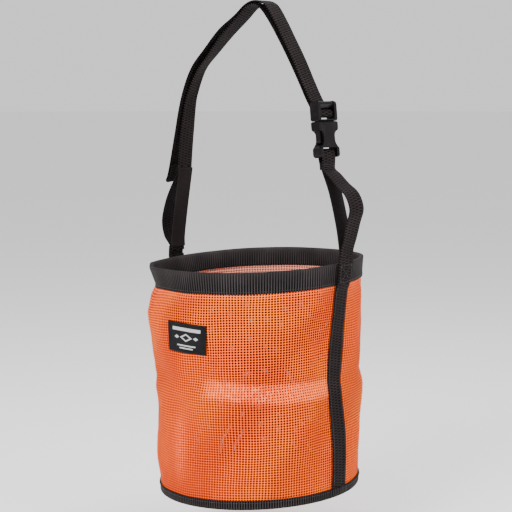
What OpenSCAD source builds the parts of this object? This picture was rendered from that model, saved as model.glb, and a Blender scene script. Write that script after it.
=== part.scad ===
// Horse feed bag: a round mesh bag hung from a webbing head strap with elastic inserts
// and a side-release buckle. It hangs from the crown of its strap, which is the origin.
// The strap loop lies in the XZ plane, the buckle side is +X and the label faces -Y.

/* [Bag] */
// Outside diameter over the rim binding
rim_d = 256; // [230:2:280]
// Outside diameter over the base binding
base_d = 242; // [220:2:260]
// Height from the top of the rim to the underside of the base
bag_h = 276; // [220:2:320]
// Thickness of the coated mesh
mesh_t = 1; // [0.6:0.1:1.6]
// Height of the rim binding, inside and outside
rim_band_h = 25; // [20:1:30]
// Height of the base binding on the wall
base_band_h = 11; // [8:1:16]
// Width of the base binding under the base
base_band_w = 13; // [8:1:20]

/* [Webbing] */
// Width of the webbing and the elastic
web_w = 25; // [24:0.5:26]
// Thickness of the webbing and the elastic
web_t = 1.6; // [1.2:0.1:1.6]

/* [Head strap] */
// Height of the hang point above the rim
hang_h = 302; // [280:2:330]
// Height of the line that the bag swings about, above the rim
swing_h = 8; // [7:0.5:10]

/* [Buckle] */
// Width of the buckle
buckle_w = 36; // [35:0.5:38]
// Thickness of the buckle
buckle_t = 12; // [11.5:0.1:13]
// Lean of the buckle towards the middle, in degrees
buckle_lean = 5.5; // [4:0.5:7]

/* [Label] */
// Width of the woven label
label_w = 55; // [30:1:70]
// Height of the woven label
label_h = 35; // [20:1:50]
// Depth of the label's middle below the rim
label_drop = 75; // [55:1:110]

/* [Hidden] */
$fn = 96;

black = [0.09, 0.09, 0.09];
elastic_black = [0.05, 0.05, 0.06];
plastic_black = [0.12, 0.12, 0.13];
orange = [0.96, 0.42, 0.18];

layer_gap = 0.1;         // between sewn layers that do not move
moving_gap = 0.35;       // between layers that slide over each other
end_cut = 0.3;           // between the ends of two lengths of one webbing
rim_r = rim_d / 2;
base_r = base_d / 2;
rim_z = -hang_h;
base_z = rim_z - bag_h;
swing_z = rim_z + swing_h;

// The mesh wall is a cone from the rim to the base
mesh_top_r = rim_r - web_t - layer_gap;
mesh_base_r = base_r - web_t - layer_gap;
function mesh_r(z) = mesh_base_r + (mesh_top_r - mesh_base_r) * (z - base_z) / bag_h;
wall_foot_z = base_z + web_t + mesh_t + 2 * layer_gap;
wall_head_z = rim_z - web_t - layer_gap;
band_foot_z = rim_z - rim_band_h;
band_lean = mesh_r(rim_z) - mesh_r(band_foot_z);

// The strap layers beside the rim, from the wall outwards: side strap, then stub or lap
tab_x = rim_r + layer_gap + 0.1 + web_t / 2;
stub_x = tab_x + web_t + moving_gap;
stub_top_z = rim_z + 25;
swing_limit = 60;

// Points of the strap loop are fractions of the rim's radius and of the hang height
function at(across, up) = [across * rim_r, (up - 1) * hang_h];

// A smooth line through a few points, with n steps between each two
function knot(p, i, t) =
    let (a = p[max(i - 1, 0)], b = p[i], c = p[i + 1], d = p[min(i + 2, len(p) - 1)])
    (2 * b + (c - a) * t + (2 * a - 5 * b + 4 * c - d) * t * t
        + (3 * b - a - 3 * c + d) * t * t * t) / 2;
function through(p, n = 6) =
    [for (i = [0 : len(p) - 2], k = [0 : n - 1]) knot(p, i, k / n), p[len(p) - 1]];
function part_of(p, from, to) = [for (i = [from : to]) p[i]];
function last(p) = p[len(p) - 1];
function unit(v) = v / norm(v);
function normal_at(p, i) =
    let (d = unit(p[min(i + 1, len(p) - 1)] - p[max(i - 1, 0)])) [-d.y, d.x];
function beside(p, d) = [for (i = [0 : len(p) - 1]) p[i] + normal_at(p, i) * d];
function reversed(p) = [for (i = [len(p) - 1 : -1 : 0]) p[i]];
function ribbon(p, t, from, to) =
    concat(part_of(beside(p, t / 2), from, to), reversed(part_of(beside(p, -t / 2), from, to)));
function cut_last(p) =
    concat(part_of(p, 0, len(p) - 2), [last(p) + unit(p[len(p) - 2] - last(p)) * end_cut]);

// The buckle's own frame: x out of its face, y across it, z along it, from its foot
buckle_foot = at(0.797, 0.414);
function on_buckle(n, w) = buckle_foot
    + [n * cos(buckle_lean) - w * sin(buckle_lean), n * sin(buckle_lean) + w * cos(buckle_lean)];
half_w = buckle_w / 2;
half_t = buckle_t / 2;
cheek_v = web_w / 2 + 0.7;
bar_w = 4;               // middle of the female's web bar
bar_r = 1.9;
slot_top_w = 11.5;
waist_low_w = 16;
waist_high_w = 30;
mouth_w = 41.4;
frame_w = 41.9;          // foot of the male's frame
sill_top_w = 43.8;
mid_bar_w = [48.6, 51.8];
top_bar_w = [57.4, 64.6];
buckle_len = 65;
cavity_v = 15.2;
cavity_n = 3.4;
cavity_foot_w = 14.5;
pivot_v = 13;
pivot_w = 39.4;
pivot_r = 1.6;

// Load line: far seam, far leg, crown, near leg, back of the ladder lock
load_points = [
    at(-0.925, 0.335), at(-0.89, 0.49), at(-0.83, 0.64), at(-0.71, 0.745), at(-0.55, 0.815),
    at(-0.37, 0.888), at(-0.19, 0.95), at(-0.07, 0.993), at(0.025, 1.003), at(0.11, 0.983),
    at(0.205, 0.935), at(0.325, 0.86), at(0.44, 0.781), at(0.543, 0.705), at(0.62, 0.645),
    on_buckle(-8.3, 56)
];
steps = 4;
load_line = through(load_points, steps);
crown_end = 9 * steps;

// Tail line, outside the load line: far end, far side, crown, near leg, behind the top bar
tail_gaps = [15.5, 8, 3.4, 4.8, 6.4, 7.4, 4.6, 3.4, 4, 7.5, 6.8, 5.5, 5.2, 4.2, 4.2];
tail_points = concat(
    [at(-1.082, 0.3)],
    [for (i = [0 : len(tail_gaps) - 1]) load_points[i] + normal_at(load_points, i) * tail_gaps[i]],
    [on_buckle(-5, 59.5)]
);
tail_line = through(tail_points, steps);
tail_end = 6 * steps;
near_tail_start = 10 * steps;
hem_steps = 5;

// Elastic and slack webbing beside each other, between the lower and the upper seam
seam_w = -14.8;
far_seam = load_points[0];
stub_in_x = stub_x - web_t - layer_gap;
stub_out_x = stub_x + web_t + layer_gap;
near_elastic_line = [[stub_in_x - 1.6, rim_z + 21.2], on_buckle(-0.9, seam_w)];
far_elastic_line = [[-stub_in_x, rim_z + 21.2], far_seam + [1, -0.4]];
near_slack_line = through([
    [stub_out_x, rim_z + 15], at(1.055, 0.106), at(1.1, 0.172), at(1.135, 0.225),
    at(1.08, 0.278), at(0.97, 0.315), on_buckle(0.9, seam_w)
], 5);
far_slack_line = through([
    [-stub_out_x, rim_z + 3], at(-1.11, 0.07), at(-1.14, 0.135),
    at(-1.095, 0.21), at(-1.015, 0.285), far_seam + [-0.9, -0.5]
], 5);

// A length of webbing that follows a line in the XZ plane, or part of it
module band(line, from = 0, to = -1) {
    rotate([90, 0, 0]) translate([0, 0, -web_w / 2]) linear_extrude(web_w)
        polygon(ribbon(line, web_t, from, to < 0 ? len(line) - 1 : to));
}

// A part of revolution about the bag's axis whose outline is given as radius and height
module around(from = 0, angle = 360) {
    rotate([0, 0, from]) rotate_extrude(angle = angle) children();
}

// A flat plate that faces along X, outlined in Y and Z
module plate(x0, x1) {
    rotate([90, 0, 90]) translate([0, 0, x0]) linear_extrude(x1 - x0) children();
}

// The buckle's place in the loop
module at_buckle() {
    translate([buckle_foot.x, 0, buckle_foot.y]) rotate([0, -buckle_lean, 0]) children();
}

// ---- Bag ----

module mesh_half(from) {
    seam = 0.2;          // the halves stop short of each other by this angle
    color(orange) around(from + seam, 180 - 2 * seam) polygon([
        [mesh_r(wall_foot_z) - mesh_t, wall_foot_z], [mesh_r(wall_foot_z), wall_foot_z],
        [mesh_r(wall_head_z), wall_head_z], [mesh_r(wall_head_z) - mesh_t, wall_head_z]
    ]);
}

module front_mesh_panel() mesh_half(180);

module rear_mesh_panel() mesh_half(0);

module base_panel() {
    color(orange) translate([0, 0, base_z + web_t + layer_gap])
        cylinder(h = mesh_t, r = mesh_base_r);
}

module rim_binding() {
    inner_r = mesh_top_r - mesh_t - layer_gap - web_t;
    color(black) around() difference() {
        polygon([
            [inner_r - band_lean, band_foot_z], [rim_r - band_lean, band_foot_z],
            [rim_r, rim_z], [inner_r, rim_z]
        ]);
        polygon([
            [inner_r + web_t - band_lean, band_foot_z - 1],
            [rim_r - web_t - band_lean, band_foot_z - 1],
            [rim_r - web_t, rim_z - web_t], [inner_r + web_t, rim_z - web_t]
        ]);
    }
}

module base_binding() {
    top_z = base_z + base_band_h;
    color(black) around() polygon([
        [base_r - base_band_w, base_z], [base_r, base_z], [mesh_r(top_z) + web_t, top_z],
        [mesh_r(top_z) + layer_gap, top_z], [base_r - web_t, base_z + web_t],
        [base_r - base_band_w, base_z + web_t]
    ]);
}

// Webbing down the wall, with a round tab above the rim that the stub turns on
module side_strap(side) {
    foot_z = base_z + base_band_h + 0.3;
    step_z = band_foot_z - 1;
    out = layer_gap + web_t / 2;
    line = [
        [mesh_r(foot_z) + out, foot_z], [mesh_r(step_z - 6) + out, step_z - 6],
        [tab_x - band_lean, step_z], [tab_x, rim_z], [tab_x, swing_z]
    ];
    color(black) mirror([side < 0 ? 1 : 0, 0, 0]) {
        band(line);
        translate([tab_x - web_t / 2, 0, swing_z]) rotate([0, 90, 0]) cylinder(h = web_t, d = web_w);
    }
}

module near_side_strap() side_strap(1);

module far_side_strap() side_strap(-1);

// The sewn end of the head strap on the rim, hollowed for the turning stub
module lap(side) {
    color(black) mirror([side < 0 ? 1 : 0, 0, 0])
        plate(stub_x - web_t / 2, stub_x + web_t / 2) difference() {
            translate([-web_w / 2, band_foot_z]) square([web_w, rim_band_h]);
            translate([0, swing_z]) {
                circle(d = web_w + 2 * moving_gap);
                for (turn = [-swing_limit, swing_limit]) rotate(turn)
                    translate([-web_w / 2 - moving_gap, 0]) square([web_w + 2 * moving_gap, web_w]);
            }
        }
}

module near_lap() lap(1);

module far_lap() lap(-1);

module woven_label() {
    thick = 0.8;
    top_z = rim_z - label_drop + label_h / 2;
    foot_z = top_z - label_h;
    angle = label_w / mesh_r(top_z) * 180 / PI;
    color(plastic_black) around(-90 - angle / 2, angle) polygon([
        [mesh_r(foot_z) + layer_gap, foot_z], [mesh_r(foot_z) + layer_gap + thick, foot_z],
        [mesh_r(top_z) + layer_gap + thick, top_z], [mesh_r(top_z) + layer_gap, top_z]
    ]);
}

// ---- Lower ends of the head strap ----

module stub(side) {
    color(black) mirror([side < 0 ? 1 : 0, 0, 0])
        plate(stub_x - web_t / 2, stub_x + web_t / 2) {
            translate([0, swing_z]) circle(d = web_w);
            translate([-web_w / 2, swing_z]) square([web_w, stub_top_z - swing_z]);
        }
}

module near_stub() stub(1);

module far_stub() stub(-1);

// ---- Head strap ----

module crown_strap() color(black) band(load_line, 0, crown_end);

module near_run() color(black) band(cut_last(load_line), crown_end);

module near_tail_run() color(black) band(cut_last(tail_line), near_tail_start);

module crown_tail() color(black) band(tail_line, tail_end, near_tail_start);

module near_elastic() color(elastic_black) band(near_elastic_line);

module far_elastic() color(elastic_black) band(far_elastic_line);

module near_slack_webbing() color(black) band(near_slack_line);

module far_slack_webbing() color(black) band(far_slack_line);

module strap_tail() color(black) band(cut_last(part_of(tail_line, 0, tail_end)));

// The end of the tail folded back on its inner side
module tail_hem() color(black) band(beside(part_of(tail_line, 0, hem_steps), -web_t - layer_gap));

// ---- Buckle ----

// Half of an outline mirrored to the other side
function both_sides(half) = concat(half, reversed([for (p = half) [-p.x, p.y]]));

// Thickness profile with eased edges, cut to a height range
module side_profile(foot, head, ease) {
    rotate([90, 0, 0]) translate([0, 0, -half_w - 1]) linear_extrude(buckle_w + 2) polygon([
        [-half_t + ease, foot], [half_t - ease, foot], [half_t, foot + ease],
        [half_t, head - ease], [half_t - ease, head], [-half_t + ease, head],
        [-half_t, head - ease], [-half_t, foot + ease]
    ]);
}

module female_outline() {
    polygon(both_sides([
        [cheek_v + 2.6, 0], [half_w - 0.7, 1.2], [half_w, 3.2], [half_w, 9.2], [half_w - 0.8, 11],
        [half_w - 3, 12.6], [half_w - 6.2, waist_low_w], [half_w - 7.4, waist_low_w + 3.2],
        [half_w - 7.6, waist_high_w - 4.6], [half_w - 6.6, waist_high_w - 1.8],
        [half_w - 4.2, waist_high_w], [half_w - 1.4, waist_high_w + 1.2],
        [half_w - 0.2, waist_high_w + 3.4], [half_w, mouth_w - 1], [half_w - 0.8, mouth_w]
    ]));
}

module buckle_female() {
    color(plastic_black) at_buckle() difference() {
        union() {
            intersection() {
                plate(-half_t, half_t) female_outline();
                side_profile(0, mouth_w, 1.4);
            }
            translate([0, 0, bar_w]) rotate([90, 0, 0])
                cylinder(h = 2 * cheek_v + 2, r = bar_r, center = true);
        }
        // slot for the webbing, open on both faces and at the foot, around the bar
        difference() {
            translate([-half_t - 1, -cheek_v, -1]) cube([buckle_t + 2, 2 * cheek_v, slot_top_w + 1]);
            translate([0, 0, bar_w]) rotate([90, 0, 0])
                cylinder(h = 2 * cheek_v + 2, r = bar_r, center = true);
        }
        // cavity for the prongs and the guide, open at the mouth and at the waist
        translate([-cavity_n, -cavity_v, cavity_foot_w])
            cube([2 * cavity_n, 2 * cavity_v, mouth_w]);
    }
}

module buckle_male() {
    guide_v = 3;
    guide_n = 2.4;
    plug_n = cavity_n - 0.4;
    plug_v = cavity_v - 0.4;
    color(plastic_black) at_buckle() {
        // frame with two side bars, a sill, a middle bar and a top bar
        difference() {
            intersection() {
                plate(-half_t, half_t) polygon(both_sides([
                    [half_w - 0.4, frame_w], [half_w, frame_w + 1], [half_w, 60.5],
                    [half_w - 1, 63.4], [half_w - 3.4, buckle_len]
                ]));
                side_profile(frame_w, buckle_len, 1.6);
            }
            translate([-half_t - 1, -cheek_v, sill_top_w])
                cube([buckle_t + 2, 2 * cheek_v, buckle_len]);
        }
        translate([-1.2, -cheek_v - 1, mid_bar_w[0]])
            cube([2.6, 2 * cheek_v + 2, mid_bar_w[1] - mid_bar_w[0]]);
        // top bar, sloped on its outer face
        rotate([90, 0, 0]) translate([0, 0, -cheek_v - 1]) linear_extrude(2 * cheek_v + 2) polygon([
            [-1.6, top_bar_w[0] + 1], [-0.6, top_bar_w[0]], [2.6, top_bar_w[0]],
            [half_t - 1, top_bar_w[0] + 3.6], [half_t - 1, top_bar_w[1] - 1.4],
            [half_t - 2.4, top_bar_w[1]], [-0.6, top_bar_w[1]], [-1.6, top_bar_w[1] - 1]
        ]);
        // plug and guide inside the female, with round seats for the prongs
        difference() {
            translate([-plug_n, -plug_v, pivot_w - 2]) cube([2 * plug_n, 2 * plug_v, 5.5]);
            for (side = [-1, 1]) {
                translate([0, side * pivot_v, pivot_w]) rotate([0, 90, 0])
                    cylinder(h = 10, r = pivot_r + 0.25, center = true, $fn = 48);
                translate([-5, side * pivot_v - 2.4, pivot_w - 10]) cube([10, 4.8, 10]);
            }
        }
        translate([-guide_n, -guide_v, cavity_foot_w + 1.5])
            cube([2 * guide_n, 2 * guide_v, pivot_w - cavity_foot_w]);
    }
}

// Spring arm with a thumb pad that stands in the waist of the female
module prong(side) {
    arm_n = cavity_n - 0.5;
    color(plastic_black) at_buckle() {
        plate(-arm_n, arm_n) scale([side, 1]) polygon([
            [pivot_v - pivot_r, pivot_w], [pivot_v - 1.8, waist_low_w + 6],
            [pivot_v - 1.2, waist_low_w + 1.4], [pivot_v, waist_low_w + 0.4],
            [cavity_v - 1.6, waist_low_w + 1.2], [cavity_v - 0.7, waist_low_w + 4],
            [cavity_v - 0.4, waist_high_w - 2], [cavity_v - 0.9, waist_high_w - 0.6],
            [pivot_v + pivot_r, waist_high_w + 1], [pivot_v + pivot_r, pivot_w]
        ]);
        translate([0, side * pivot_v, pivot_w]) rotate([0, 90, 0])
            cylinder(h = 2 * arm_n, r = pivot_r, center = true, $fn = 48);
    }
}

module prong_front() prong(-1);

module prong_rear() prong(1);

// Webbing around the middle bar of the ladder lock, both ends leaving behind the top bar
module ladder_wrap() {
    line = through([
        [-8.3, 56], [-5.6, 51.6], [-3.6, 48.2], [-0.9, 46.6],
        [1.9, 47.1], [3.1, 49.4], [3, 52.2], [1.4, 54.4], [-1.6, 56.4], [-5, 59.5]
    ], 3);
    color(black) at_buckle() band(line);
}

// Webbing around the female's bar, sewn to the elastic below it
module female_loop() {
    turn_r = bar_r + 0.2 + web_t / 2;
    tip = -13.6;
    arc = [for (a = [180 : -20 : 0]) [turn_r * cos(a), bar_w + turn_r * sin(a)]];
    line = concat([[-0.9, tip], [-1.1, -8], [-2.5, -1.5]], arc, [[2.5, -1.5], [1.1, -8], [0.9, tip]]);
    color(black) at_buckle() band(line);
}

front_mesh_panel();
rear_mesh_panel();
base_panel();
rim_binding();
base_binding();
near_side_strap();
far_side_strap();
near_lap();
far_lap();
woven_label();
near_stub();
far_stub();
crown_strap();
crown_tail();
near_run();
near_tail_run();
near_elastic();
far_elastic();
near_slack_webbing();
far_slack_webbing();
buckle_female();
female_loop();
buckle_male();
ladder_wrap();
prong_front();
prong_rear();
strap_tail();
tail_hem();
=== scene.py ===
import math

import bpy
import numpy as np
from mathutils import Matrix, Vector


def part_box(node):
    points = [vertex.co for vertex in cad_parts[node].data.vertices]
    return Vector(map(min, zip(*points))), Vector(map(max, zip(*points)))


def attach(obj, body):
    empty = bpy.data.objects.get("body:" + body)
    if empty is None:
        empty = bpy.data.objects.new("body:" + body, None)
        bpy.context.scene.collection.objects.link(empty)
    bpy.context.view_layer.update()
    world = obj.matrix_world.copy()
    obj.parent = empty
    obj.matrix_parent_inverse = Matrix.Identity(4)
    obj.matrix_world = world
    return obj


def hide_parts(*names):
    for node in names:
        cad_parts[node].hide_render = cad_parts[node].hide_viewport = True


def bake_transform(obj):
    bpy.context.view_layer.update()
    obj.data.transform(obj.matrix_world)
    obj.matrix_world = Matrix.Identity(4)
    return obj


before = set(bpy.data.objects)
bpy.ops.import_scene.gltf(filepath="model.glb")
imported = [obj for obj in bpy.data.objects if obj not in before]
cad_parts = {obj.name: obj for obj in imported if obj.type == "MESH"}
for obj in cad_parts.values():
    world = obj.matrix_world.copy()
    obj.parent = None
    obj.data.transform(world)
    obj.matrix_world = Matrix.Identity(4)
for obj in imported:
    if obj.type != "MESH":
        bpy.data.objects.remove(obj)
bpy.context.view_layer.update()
MM = 0.001


# ---- Sizes, from the CAD and given ----

def box(node):
    """The lowest and highest corner of a CAD node."""
    low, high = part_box(node)
    return np.array(low), np.array(high)


rim_low, rim_high = box("rim_binding")
base_low, base_high = box("base_binding")
stub_low, stub_high = box("near_stub")
label_low, label_high = box("woven_label")
RIM_R = rim_high[0]
RIM_Z = rim_high[2]
BAND_H = rim_high[2] - rim_low[2]
BASE_R = base_high[0]
BASE_Z = base_low[2]
BASE_BAND_H = base_high[2] - base_low[2]
BAG_H = RIM_Z - BASE_Z
HANG_H = -RIM_Z
WEB_W = stub_high[1] - stub_low[1]
WEB_T = stub_high[0] - stub_low[0]
STUB_X = (stub_high[0] + stub_low[0]) / 2
LAYER_GAP = 0.1 * MM         # between sewn layers
MESH_T = 0.8 * MM
WALL_TOP_R = RIM_R - WEB_T - LAYER_GAP
WALL_FOOT_R = BASE_R - WEB_T - LAYER_GAP
WALL_MID_R = (WALL_TOP_R + WALL_FOOT_R) / 2
STRAP_OUT = WEB_T / 2 + LAYER_GAP        # from the wall to the middle of a side strap
BASE_FOLD_IN = 13 * MM       # how far the base binding reaches in under the base
BASE_ROUND_R = WALL_FOOT_R - 0.6 * MM
HEM = 22 * MM                # the folded end of the loose tail
SEAM_IN = 2.6 * MM           # a binding's seam, from its edge
STRAP_SEAM_IN = 2.2 * MM     # a side strap's seam, from its edge
TACK_IN = 1.6 * MM           # the ends of a bar tack, from the webbing's edge
LABEL_SEAM_IN = 1.3 * MM


def wall_r(z):
    """Radius of the wall's outer face at a height."""
    return WALL_FOOT_R + (WALL_TOP_R - WALL_FOOT_R) * (z - BASE_Z) / BAG_H


# ---- Routes in the XZ plane, the same as the CAD's ----

def at(across, up):
    """A point given as shares: across of the rim's radius, up of the height from rim to crown."""
    return np.array([across * RIM_R, (up - 1) * HANG_H])


LEAN = math.radians(5.5)
BUCKLE_FOOT = at(0.797, 0.414)


def on_buckle(n, w):
    """A point in the buckle's frame, in millimetres: n out of its face, w up from its foot."""
    return BUCKLE_FOOT + MM * np.array(
        [n * math.cos(LEAN) - w * math.sin(LEAN), n * math.sin(LEAN) + w * math.cos(LEAN)])


def through(points, n):
    """A smooth line through the points, with n steps between each two."""
    p = np.array(points, float)
    out = []
    for i in range(len(p) - 1):
        a, b, c, d = p[max(i - 1, 0)], p[i], p[i + 1], p[min(i + 2, len(p) - 1)]
        for k in range(n):
            t = k / n
            out.append((2 * b + (c - a) * t + (2 * a - 5 * b + 4 * c - d) * t * t
                        + (3 * b - a - 3 * c + d) * t ** 3) / 2)
    return np.array(out + [p[-1]])


def normals(p):
    """Unit normals of a line in the XZ plane, to its left."""
    ahead = np.vstack([p[1:], p[-1:]])
    behind = np.vstack([p[:1], p[:-1]])
    d = ahead - behind
    d /= np.linalg.norm(d, axis=1)[:, None]
    return np.stack([-d[:, 1], d[:, 0]], 1)


def beside(p, d):
    """The line d to the left of a line."""
    return p + normals(p) * d


# the head strap's loaded leg from the far seam over the crown to the buckle, and the second layer
# over it, which runs GAPS millimetres outside and hangs loose at the far end
LOAD = np.array([
    at(-0.925, 0.335), at(-0.89, 0.49), at(-0.83, 0.64), at(-0.71, 0.745), at(-0.55, 0.815),
    at(-0.37, 0.888), at(-0.19, 0.95), at(-0.07, 0.993), at(0.025, 1.003), at(0.11, 0.983),
    at(0.205, 0.935), at(0.325, 0.86), at(0.44, 0.781), at(0.543, 0.705), at(0.62, 0.645),
    on_buckle(-8.3, 56)])
GAPS = np.array([15.5, 8, 3.4, 4.8, 6.4, 7.4, 4.6, 3.4, 4, 7.5, 6.8, 5.5, 5.2, 4.2, 4.2])
TAIL = np.vstack([[at(-1.082, 0.3)], LOAD[:15] + normals(LOAD)[:15] * GAPS[:, None] * MM,
                  [on_buckle(-5, 59.5)]])
N = 14                       # steps between two knots
CROWN_KNOT = 9               # where the head strap is split, beside the crown
load_line = through(LOAD, N)
tail_line = through(TAIL, N)


# ---- The bag's soft shape ----

TILT = 0.045                 # the bag hangs a little higher on the buckle side
TILT_AZ = math.radians(39)
FADE = 45 * MM               # above the rim the shape fades out over this height


def smooth(t):
    """From 0 to 1 as t goes from 0 to 1, level at both ends."""
    t = np.clip(t, 0, 1)
    return t * t * (3 - 2 * t)


def bump(x, centre, width):
    return np.exp(-((x - centre) / width) ** 2)


def turn(a, centre):
    """Angle from centre, between -180 and 180 degrees."""
    return (np.degrees(a) - centre + 180) % 360 - 180


def wall_shape(a, h):
    """How far the wall stands out from its cone, in millimetres, at the angle a around the bag.
    h is 0 at the base and 1 at the rim."""
    body = np.sin(np.pi * np.clip(h, 0, 1)) ** 0.8
    # out of round: the sides are drawn in, each by its own amount at each height
    d = bump(turn(a, -141), 0, 48) * np.interp(h, [0, 0.15, 0.35, 0.5, 0.68, 0.8, 0.87, 0.915, 1],
                                               [-1.5, 1, -0.5, 1.3, 5.2, 8.5, 4.5, -3.5, 4.8])
    d += bump(turn(a, 39), 0, 42) * np.interp(h, [0, 0.25, 0.5, 0.75, 0.87, 1],
                                              [1.5, 3.5, 2, -1, -1.5, -0.5])
    # pulled in along the side straps, most at the old fold line at mid-height
    off = h - fold_height(a)
    dent = np.exp(-(off / np.where(off > 0, 0.32, 0.2)) ** 2)
    d -= dent * (10.5 * bump(turn(a, -3), 0, 21) + 5 * bump(turn(a, 176), 0, 26))
    # the fold line itself, with a ledge under it
    fold = 2.6 * bump(turn(a, -36), 0, 42) + 2.4 * bump(turn(a, 150), 0, 60) + 1.2
    fold = fold * (1 - 0.75 * bump(turn(a, 0), 0, 14))
    ledge = np.where(off > 0, np.exp(-off / 0.035), 1 - 1.75 * smooth(-off / 0.075))
    d -= fold * np.where(off > -0.075, ledge, -0.75 * np.exp((off + 0.075) / 0.16))
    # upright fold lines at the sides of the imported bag
    for centre, size, low, high in (
            (-99, 2.2, 0.02, 0.44), (84, 3.0, 0.1, 0.9), (-128, 1.8, 0.4, 0.86)):
        reach = smooth((h - low) / 0.15) * smooth((high - h) / 0.15)
        d += size * reach * np.exp(-np.abs(turn(a, centre)) / 6)
    # soft waves that run slantwise
    free = 1 - 0.85 * bump(turn(a, 0), 0, 15)
    waves = (1.3 * np.sin(3 * a + 9 * h + 0.4) + 1.1 * np.sin(5 * a - 13 * h + 2.0)
             + 1.0 * np.sin(9 * a + 17 * h + 1.1) - 1.7 * np.abs(np.sin(3.5 * a - 7 * h + 0.7)) + 0.9
             + 0.7 * np.sin(14 * a - 21 * h))
    d += free * body * waves
    # ripples of the band itself
    d += smooth((h - 0.8) / 0.2) * (0.9 * np.sin(4 * a + 1.3) + 0.5 * np.sin(11 * a))
    return d


def fold_height(a):
    """Where the old fold line runs, as a share of the wall's height."""
    return 0.505 + 0.045 * bump(turn(a, -95), 0, 50)


def crease_highlight(a, h):
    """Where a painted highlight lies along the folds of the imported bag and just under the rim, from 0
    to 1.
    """
    below = fold_height(a) - h
    shelf = smooth((below + 0.012) / 0.02) * smooth((0.085 - below) / 0.03)
    front = smooth((turn(a, -84)) / 8) * smooth((6 - turn(a, 0)) / 8) * (np.abs(turn(a, -30)) < 70)
    level = shelf * (front + 0.8 * bump(turn(a, 140), 0, 40))
    lower = 0.45 * bump(turn(a, -99), 0, 4.5) * smooth((h - 0.06) / 0.1) * smooth((0.42 - h) / 0.08)
    upper = 0.2 * bump(turn(a, -118), 0, 9) * smooth((h - 0.5) / 0.1) * smooth((1 - h) / 0.1)
    under_rim = 0.55 * bump(h, 0.9, 0.009)
    return np.clip(0.95 * level + lower + upper + under_rim, 0, 1)


def lift(a, h):
    """How far the cloth stands above its level, in millimetres."""
    top = smooth((h - 0.75) / 0.25)
    return top * (0.9 * np.sin(3 * a + 0.8) - 1.8 * bump(turn(a, -131), 0, 7)
                  + 1.2 * bump(turn(a, -145), 0, 6))


def shaped(p):
    """Points of the level bag, moved to where the soft bag has them."""
    p = np.array(p, float)
    x, y, z = p[..., 0], p[..., 1], p[..., 2]
    r = np.hypot(x, y)
    a = np.arctan2(y, x)
    h = (z - BASE_Z) / BAG_H
    keep = 1 - smooth((z - RIM_Z) / FADE)
    near_wall = np.clip(r / wall_r(z), 0, 1.2) ** 3
    grown = r + MM * wall_shape(a, np.clip(h, 0, 1)) * near_wall * keep
    scale = np.where(r > 1e-9, grown / np.maximum(r, 1e-9), 1)
    up = TILT * (x * math.cos(TILT_AZ) + y * math.sin(TILT_AZ)) + MM * lift(a, h) * near_wall
    return np.stack([x * scale, y * scale, z + up * keep], -1)


# ---- Meshes ----

def grid(name, co, u, v, close_rows=False):
    """A tube of rings: co is rings x points x 3, u has a value per ring and v per point of a ring.
    Each ring is closed, and its second half mirrors its first. Caps are strips between the halves."""
    rings, points = co.shape[:2]
    last = rings if close_rows else rings - 1
    i, j = np.meshgrid(np.arange(last), np.arange(points), indexing="ij")
    i, j = i.ravel(), j.ravel()
    i1, j1 = (i + 1) % rings, (j + 1) % points
    faces = np.stack([i * points + j, i1 * points + j, i1 * points + j1, i * points + j1], 1)
    uv = np.stack([np.stack([u[i], v[j]], 1), np.stack([u[i + 1], v[j]], 1),
                   np.stack([u[i + 1], v[j1]], 1), np.stack([u[i], v[j1]], 1)], 1)
    body_faces = len(faces)
    if not close_rows:
        k = np.arange(points // 2 - 1)
        m = points - 1 - k
        foot = np.stack([k, k + 1, m - 1, m], 1)
        head = foot[:, ::-1] + (rings - 1) * points
        foot_uv, head_uv = (
            np.stack([np.stack([np.full(len(k), end), v[around[:, c]]], 1) for c in range(4)], 1)
            for end, around in ((u[0], foot), (u[-1], foot[:, ::-1])))
        faces = np.vstack([faces, foot, head])
        uv = np.vstack([uv, foot_uv, head_uv])
    flat = co.reshape(-1, 3)
    tri = flat[faces[:, [0, 1, 2]]]
    tri2 = flat[faces[:, [0, 2, 3]]]
    volume = (np.einsum("ij,ij->", tri[:, 0], np.cross(tri[:, 1], tri[:, 2]))
              + np.einsum("ij,ij->", tri2[:, 0], np.cross(tri2[:, 1], tri2[:, 2])))
    if volume < 0:
        faces, uv = faces[:, ::-1], uv[:, ::-1]
    return mesh_object(name, flat.tolist(), faces.tolist(), uv, body_faces)


def mesh_object(name, co, faces, uv=None, smooth_faces=None):
    """A mesh piece. uv has the cloth position of each face corner."""
    mesh = bpy.data.meshes.new(name)
    mesh.from_pydata(co, [], faces)
    if uv is not None:
        layer = mesh.uv_layers.new(name="cloth")
        layer.data.foreach_set("uv", np.ascontiguousarray(uv, np.float32).ravel())
    flags = np.zeros(len(faces), bool)
    flags[:len(faces) if smooth_faces is None else smooth_faces] = True
    mesh.polygons.foreach_set("use_smooth", flags)
    mesh.update()
    made = bpy.data.objects.new(name, mesh)
    bpy.context.scene.collection.objects.link(made)
    return made


def section(width, thick):
    """Half outlines of a webbing's cross-section: side position and height, edge to edge."""
    w = width / 2
    side = np.array([-w, -w + 0.2 * thick, -w + 0.7 * thick, -0.3 * width, -0.1 * width,
                     0.1 * width, 0.3 * width, w - 0.7 * thick, w - 0.2 * thick, w])
    high = thick / 2 * np.array([0.25, 0.75, 1, 1, 1, 1, 1, 1, 0.75, 0.25])
    return side, high


def lengths(line):
    """The length run so far at each point of a line."""
    return np.concatenate([[0], np.cumsum(np.linalg.norm(np.diff(line, axis=0), axis=1))])


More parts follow.
